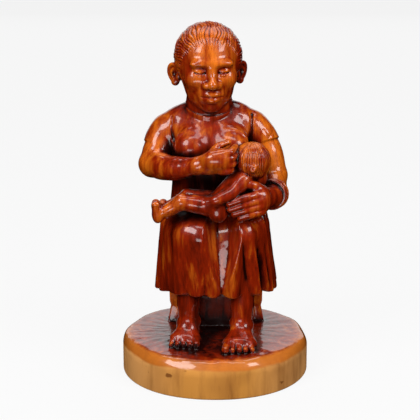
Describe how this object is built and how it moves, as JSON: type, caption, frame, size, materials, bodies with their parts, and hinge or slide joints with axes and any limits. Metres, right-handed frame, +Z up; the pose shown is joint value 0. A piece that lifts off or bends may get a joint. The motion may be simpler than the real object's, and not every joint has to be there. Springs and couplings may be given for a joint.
{
  "type": "maternity figure",
  "caption": "Carved varnished wood figure of a seated woman in a pleated dress nursing a child across her lap, on a stool and a round slice of the same log.",
  "frame": {"origin": "middle of the flat underside of the log base", "axes": "+Z up, the woman faces -Y, her left arm and the child's head are on the +X side"},
  "size_m": [0.2014, 0.1985, 0.38],
  "materials": {
    "carved_wood": "red-brown stain under glossy varnish, with the side of the log left pale and satin"
  },
  "bodies": {
    "root": {"maternity_figure": "carved_wood"}
  },
  "joints": []
}
